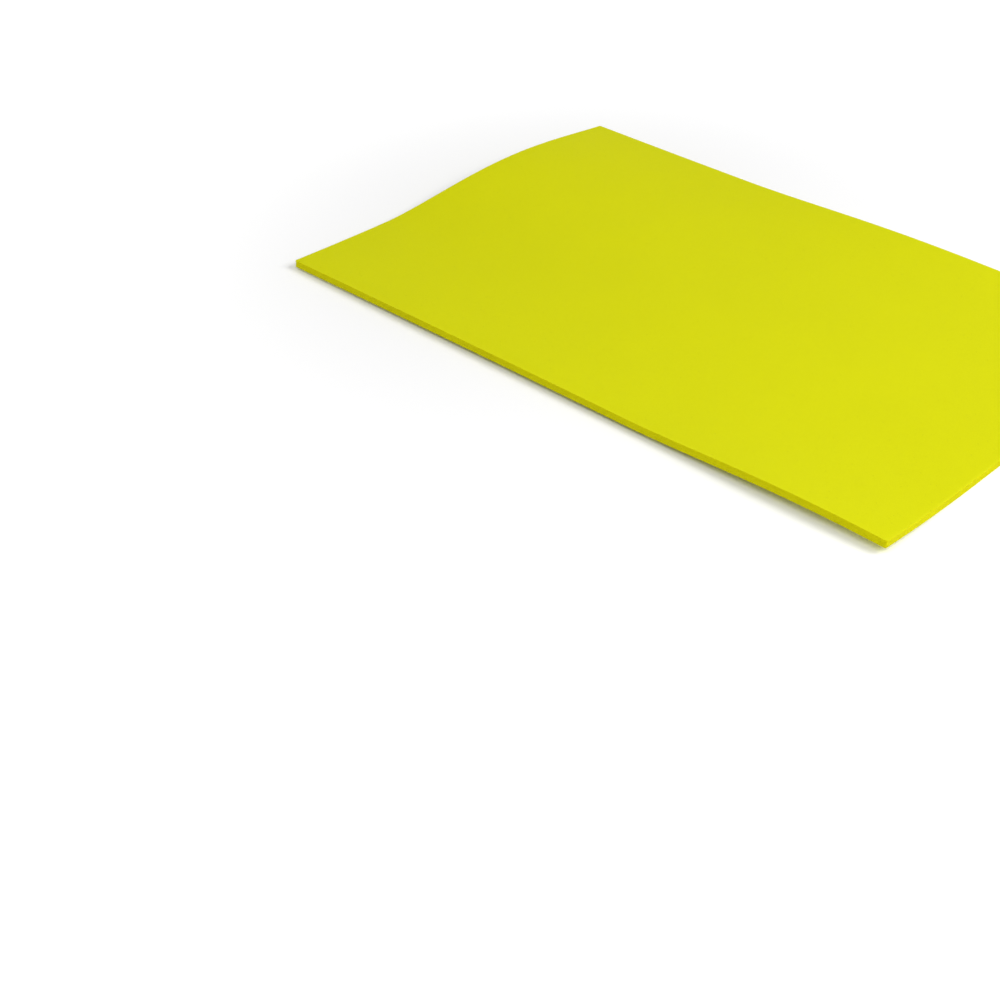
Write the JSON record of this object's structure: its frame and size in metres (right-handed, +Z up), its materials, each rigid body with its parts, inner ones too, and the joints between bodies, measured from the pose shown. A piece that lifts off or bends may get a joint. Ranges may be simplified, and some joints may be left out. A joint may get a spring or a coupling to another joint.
{
  "type": "craft foam sheet",
  "caption": "Flat rectangular sheet of thin closed-cell craft foam with square-cut corners and a border that lifts slightly in places, for cutting and gluing.",
  "frame": {"origin": "middle of the underside, on the surface that the sheet lies on", "axes": "+X along the long side, +Y along the short side, +Z up out of the upper face"},
  "size_m": [0.3001, 0.2003, 0.0088],
  "materials": {
    "yellow_foam": "smooth matt skin of coloured closed-cell EVA foam, with plain cut edges"
  },
  "bodies": {
    "root": {"foam_sheet": "yellow_foam"}
  },
  "joints": []
}
